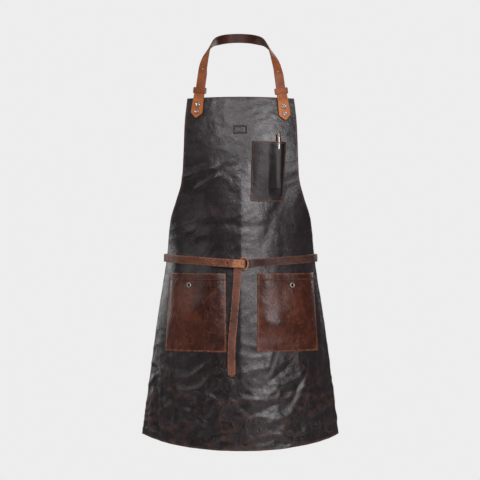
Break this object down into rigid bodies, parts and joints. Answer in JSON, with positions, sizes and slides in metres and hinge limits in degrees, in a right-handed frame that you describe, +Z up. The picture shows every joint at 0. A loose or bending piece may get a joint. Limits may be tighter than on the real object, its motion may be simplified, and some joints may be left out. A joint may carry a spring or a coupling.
{
  "type": "butcher apron",
  "caption": "Bib apron of dark leather with an adjustable neck strap, waist ties joined through a ring, a chest pocket with a pen and two hand pockets.",
  "frame": {"origin": "on the apron's middle plane, at the neck strap's inner face at the nape, where the apron hangs", "axes": "+Z up, -Y towards the front of the apron, +X to the right seen from the front"},
  "size_m": [0.5062, 0.2558, 1.0729],
  "materials": {
    "apron_leather": "waxed pull-up leather, very dark brown",
    "pocket_leather": "oiled leather, red brown",
    "tie_leather": "worn bridle leather, mid brown",
    "strap_leather": "vegetable tanned leather, cognac",
    "nickel": "nickel plated",
    "pen_metal": "polished copper"
  },
  "bodies": {
    "neck_strap": {"neck_strap": "strap_leather"},
    "keeper_left": {"keeper_left": "strap_leather"},
    "keeper_right": {"keeper_right": "strap_leather"},
    "pen": {"pen": "pen_metal"},
    "tail_head": {"tail_head": "tie_leather"},
    "tail": {"tail_strap": "tie_leather"},
    "apron": {"apron_panel": "apron_leather", "chest_pocket": "apron_leather", "hand_pocket_left": "pocket_leather", "hand_pocket_right": "pocket_leather", "pocket_eyelet_left": "nickel", "pocket_eyelet_right": "nickel", "eyelet_washer_left": "nickel", "eyelet_washer_right": "nickel", "strap_end_left": "strap_leather", "strap_end_right": "strap_leather", "strap_tab_left": "strap_leather", "strap_tab_right": "strap_leather", "tab_screw_left_upper": "nickel", "tab_nut_left_upper": "nickel", "tab_screw_left_lower": "nickel", "tab_nut_left_lower": "nickel", "tab_screw_right_upper": "nickel", "tab_nut_right_upper": "nickel", "tab_screw_right_lower": "nickel", "tab_nut_right_lower": "nickel", "loop_tie": "tie_leather", "tail_tie": "tie_leather", "tie_ring": "tie_leather"}
  },
  "joints": [
    {"name": "apron_swing", "type": "hinge", "parent": "neck_strap", "child": "apron", "pos_m": [0, -0.18513, -0.128], "axis": [1, 0, 0], "range_deg": [-30, 15]},
    {"name": "keeper_left_slide", "type": "slide", "parent": "apron", "child": "keeper_left", "axis": [0.133, 0.097, 0.9863], "range_m": [-0.008, 0.015]},
    {"name": "keeper_right_slide", "type": "slide", "parent": "apron", "child": "keeper_right", "axis": [-0.133, 0.097, 0.9863], "range_m": [-0.006, 0.015]},
    {"name": "pen_slide", "type": "slide", "parent": "apron", "child": "pen", "axis": [0.001, 0.062, 0.9981], "range_m": [0, 0.04]},
    {"name": "tail_swing", "type": "hinge", "parent": "apron", "child": "tail_head", "pos_m": [-0.008, -0.2349, -0.5925], "axis": [0, 1, 0], "range_deg": [-10, 1]},
    {"name": "tail_lift", "type": "hinge", "parent": "tail_head", "child": "tail", "pos_m": [-0.008, -0.23493, -0.61295], "axis": [1, 0, 0], "range_deg": [-35, 0]}
  ]
}
